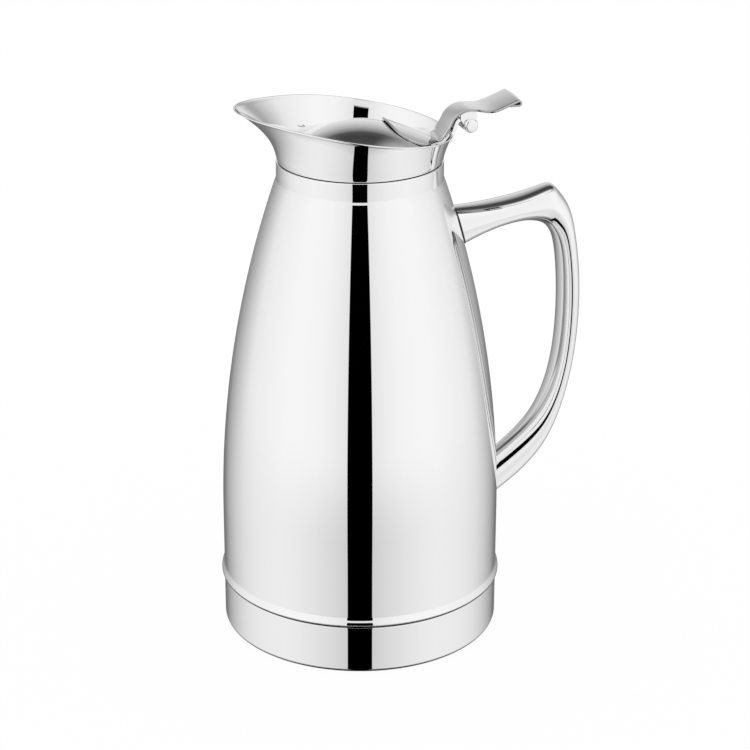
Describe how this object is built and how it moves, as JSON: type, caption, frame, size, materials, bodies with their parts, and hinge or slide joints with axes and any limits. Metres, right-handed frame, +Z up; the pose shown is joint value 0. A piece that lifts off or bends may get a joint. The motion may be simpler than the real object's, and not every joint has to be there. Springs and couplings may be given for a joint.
{
  "type": "insulated jug",
  "caption": "Insulated stainless jug with a tapered body, flared pouring collar, hollow bow handle and a domed lid that a thumb lever tips up on a rear hinge.",
  "frame": {"origin": "middle of the standing ring, on the table plane", "axes": "+Z up along the body axis, -X towards the spout, +X towards the handle, Y across, the jug is the same to both sides of Y = 0"},
  "size_m": [0.173, 0.1328, 0.2537],
  "materials": {
    "polished_steel": "mirror-polished stainless steel",
    "inner_steel": "satin stainless steel",
    "port_seal": "dull solder",
    "getter": "sintered metal pellet"
  },
  "bodies": {
    "jug": {"outer_shell": "polished_steel", "base_cup": "polished_steel", "vacuum_closure": "inner_steel", "port_seal": "port_seal", "getter": "getter", "liner_lower": "inner_steel", "liner_upper": "inner_steel", "liner_bottom": "inner_steel", "spout_collar": "polished_steel", "hinge_bracket": "polished_steel", "handle_left": "polished_steel", "handle_right": "polished_steel"},
    "lid": {"lid_dome": "polished_steel", "lid_pan": "inner_steel", "thumb_lever": "polished_steel", "hinge_yoke": "polished_steel", "hinge_pin": "polished_steel"}
  },
  "joints": [
    {"name": "lid_hinge", "type": "hinge", "parent": "jug", "child": "lid", "pos_m": [0.0495, 0, 0.24072], "axis": [0, 1, 0], "range_deg": [0, 90]}
  ]
}
